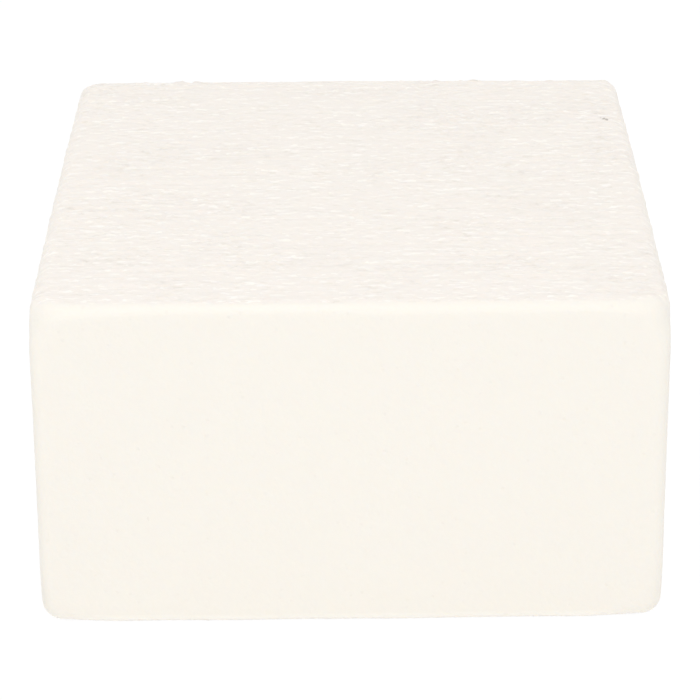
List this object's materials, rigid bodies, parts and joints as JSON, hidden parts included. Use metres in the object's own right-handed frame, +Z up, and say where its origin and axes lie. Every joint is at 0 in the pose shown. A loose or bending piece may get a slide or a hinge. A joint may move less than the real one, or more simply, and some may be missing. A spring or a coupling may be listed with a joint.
{
  "type": "foam block",
  "caption": "Rectangular block of fine-celled white foam with flat faces, softly rounded edges and corners, and a streaky sliced top.",
  "frame": {"origin": "centre of the base, on the surface that the block stands on", "axes": "+X along the width, +Y from the front face to the back face, +Z up, square to the base"},
  "size_m": [0.09, 0.1, 0.05],
  "materials": {
    "foam": "matt open foam, warm white"
  },
  "bodies": {
    "root": {"foam_block": "foam"}
  },
  "joints": []
}
